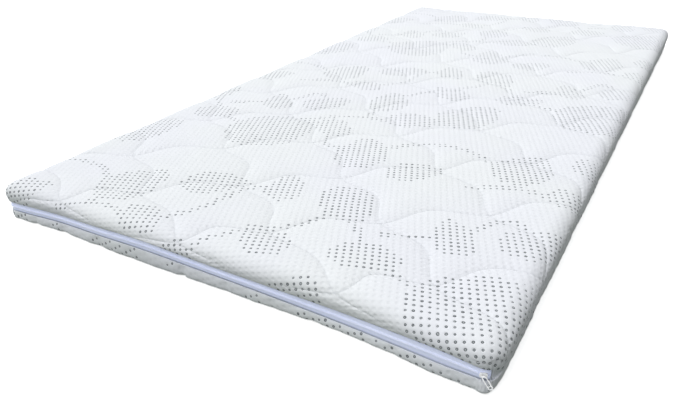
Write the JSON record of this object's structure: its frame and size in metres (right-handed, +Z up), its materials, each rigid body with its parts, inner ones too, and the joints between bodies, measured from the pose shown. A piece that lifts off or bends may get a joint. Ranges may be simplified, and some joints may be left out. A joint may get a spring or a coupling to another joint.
{
  "type": "mattress topper",
  "caption": "Flat foam-filled mattress topper for a single bed, with a quilted cover, rolled top edge and a zip round two sides.",
  "frame": {"origin": "centre of the flat base, on the surface that the topper lies on", "axes": "+X across the width, +Y along the length away from the short end with the zip slider, +Z up"},
  "size_m": [0.9997, 1.9995, 0.0757],
  "materials": {
    "quilted_knit": "matt white knit with a small grey ring pattern in leaf shapes",
    "zip_tape": "matt pale lilac woven tape",
    "zip_coil": "pale lilac moulded coil",
    "slider_metal": "white enamelled die-cast metal"
  },
  "bodies": {
    "root": {"filled_cover": "quilted_knit", "zip_tape_upper": "zip_tape", "zip_tape_lower": "zip_tape", "zip_coil": "zip_coil", "zip_slider": "slider_metal", "zip_pull": "slider_metal"}
  },
  "joints": []
}
